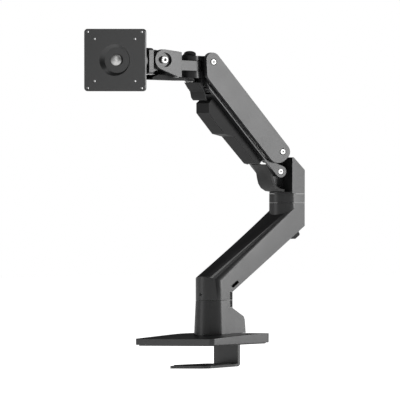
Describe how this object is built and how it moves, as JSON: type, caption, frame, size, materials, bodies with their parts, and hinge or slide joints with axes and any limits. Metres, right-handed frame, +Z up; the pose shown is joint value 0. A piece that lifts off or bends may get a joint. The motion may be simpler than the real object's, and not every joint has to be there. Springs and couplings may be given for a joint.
{
  "type": "monitor arm",
  "caption": "Desk-clamp monitor arm with swivel column, slanted lower arm, gas-spring parallelogram upper arm and a tilting square display plate.",
  "frame": {"origin": "point on the base swivel axis at the desk surface, under the desk pad", "axes": "+Z up along the column, +X forward over the desk towards the display plate, +Y to the left seen from behind the column"},
  "size_m": [0.3571, 0.147, 0.6124],
  "materials": {
    "coated_cast": "satin black powder coat on cast aluminium",
    "coated_steel": "satin black powder coat on steel sheet",
    "black_plastic": "fine-textured black plastic",
    "bright_steel": "bright zinc-plated steel",
    "dark_steel": "black oxide steel",
    "rubber": "matt black rubber",
    "nylon": "natural nylon"
  },
  "bodies": {
    "base": {"base_plate": "coated_steel", "desk_pad": "rubber", "base_column": "coated_cast", "column_rear_cover": "black_plastic", "column_screw_left": "dark_steel", "column_screw_right": "dark_steel", "swivel_post": "bright_steel", "screw_retaining_ring": "dark_steel"},
    "clamp": {"clamp_jaw": "coated_steel", "jaw_pad": "rubber", "lift_nut": "dark_steel"},
    "clamp_screw": {"clamp_screw": "dark_steel"},
    "lower_arm": {"lower_arm": "coated_cast", "arm_rear_cover": "black_plastic", "swivel_bush": "nylon", "swivel_thrust_washer": "nylon", "swivel_set_screw": "dark_steel", "lower_cable_cover": "black_plastic", "lower_cable_clip": "black_plastic", "elbow_collar": "coated_cast", "elbow_bush": "nylon"},
    "elbow": {"elbow_knuckle": "coated_cast", "elbow_post": "bright_steel", "elbow_thrust_washer": "nylon", "pivot_bush_left": "nylon", "pivot_bush_right": "nylon", "link_elbow_pin": "bright_steel", "elbow_cable_boot": "rubber"},
    "upper_arm": {"upper_arm_channel": "coated_cast", "side_cover_left": "coated_steel", "side_cover_right": "coated_steel", "arm_pivot_pin": "bright_steel", "head_pivot_pin": "bright_steel", "spring_cylinder": "dark_steel", "spring_carrier": "dark_steel", "spring_stop_bar": "dark_steel", "spring_adjust_screw": "dark_steel"},
    "spring_rod": {"spring_rod": "bright_steel"},
    "link": {"lower_link": "coated_steel", "cable_cover": "black_plastic"},
    "tip": {"tip_knuckle": "coated_cast", "link_head_pin": "bright_steel", "tip_swivel_bolt": "bright_steel", "tip_swivel_nut": "dark_steel", "tip_swivel_cap": "black_plastic", "tip_swivel_washer": "nylon", "tip_cable_guide": "black_plastic"},
    "head_swivel": {"tilt_bracket": "coated_steel", "tilt_bolt": "bright_steel", "tilt_nut": "bright_steel", "head_cable_guide": "black_plastic"},
    "tilt_head": {"tilt_hub": "coated_cast", "tilt_washer_left": "nylon", "tilt_washer_right": "nylon"},
    "display_plate": {"vesa_plate": "coated_steel", "vesa_hub": "coated_cast", "vesa_friction_washer": "nylon", "vesa_screw": "bright_steel", "vesa_nut": "dark_steel"}
  },
  "joints": [
    {"name": "clamp_slide", "type": "slide", "parent": "base", "child": "clamp", "axis": [0, 0, 1], "range_m": [-0.01, 0.017]},
    {"name": "clamp_screw_turn", "type": "hinge", "parent": "base", "child": "clamp_screw", "pos_m": [-0.0224, 0, 0.03], "axis": [0, 0, 1], "range_deg": [-1810, 3070]},
    {"name": "base_swivel", "type": "hinge", "parent": "base", "child": "lower_arm", "pos_m": [0, 0, 0.081], "axis": [0, 0, 1], "range_deg": [-90, 90]},
    {"name": "elbow_swivel", "type": "hinge", "parent": "lower_arm", "child": "elbow", "pos_m": [-0.15, 0, 0.2765], "axis": [0, 0, 1], "range_deg": [-135, 135]},
    {"name": "arm_lift", "type": "hinge", "parent": "elbow", "child": "upper_arm", "pos_m": [-0.1194, 0, 0.3552], "axis": [0, -1, 0], "range_deg": [-75, 6], "deforming": ["elbow_cable_boot"]},
    {"name": "link_lift", "type": "hinge", "parent": "elbow", "child": "link", "pos_m": [-0.1214, 0, 0.3181], "axis": [0, -1, 0], "range_deg": [-75.5, 6.5]},
    {"name": "spring_travel", "type": "slide", "parent": "upper_arm", "child": "spring_rod", "axis": [0.657, 0, 0.7539], "range_m": [-0.002, 0.02]},
    {"name": "tip_level", "type": "hinge", "parent": "upper_arm", "child": "tip", "pos_m": [0.02218, 0, 0.51767], "axis": [0, -1, 0], "range_deg": [-6.5, 75.5]},
    {"name": "tip_swivel", "type": "hinge", "parent": "tip", "child": "head_swivel", "pos_m": [0.044, 0, 0.51], "axis": [0, 0, 1], "range_deg": [-45, 45]},
    {"name": "head_tilt", "type": "hinge", "parent": "head_swivel", "child": "tilt_head", "pos_m": [0.114, 0, 0.518], "axis": [0, -1, 0], "range_deg": [-15, 70]},
    {"name": "plate_rotate", "type": "hinge", "parent": "tilt_head", "child": "display_plate", "pos_m": [0.16, 0, 0.5146], "axis": [1, 0, 0], "range_deg": [-90, 90]}
  ],
  "couplings": [
    {"joint": "clamp_screw_turn", "follows": "clamp_slide", "rad_per_m": 3141.6},
    {"joint": "link_lift", "follows": "arm_lift", "ratio": 1},
    {"joint": "tip_level", "follows": "arm_lift", "ratio": -1},
    {"joint": "spring_travel", "follows": "arm_lift", "m_per_rad": -0.0149}
  ]
}
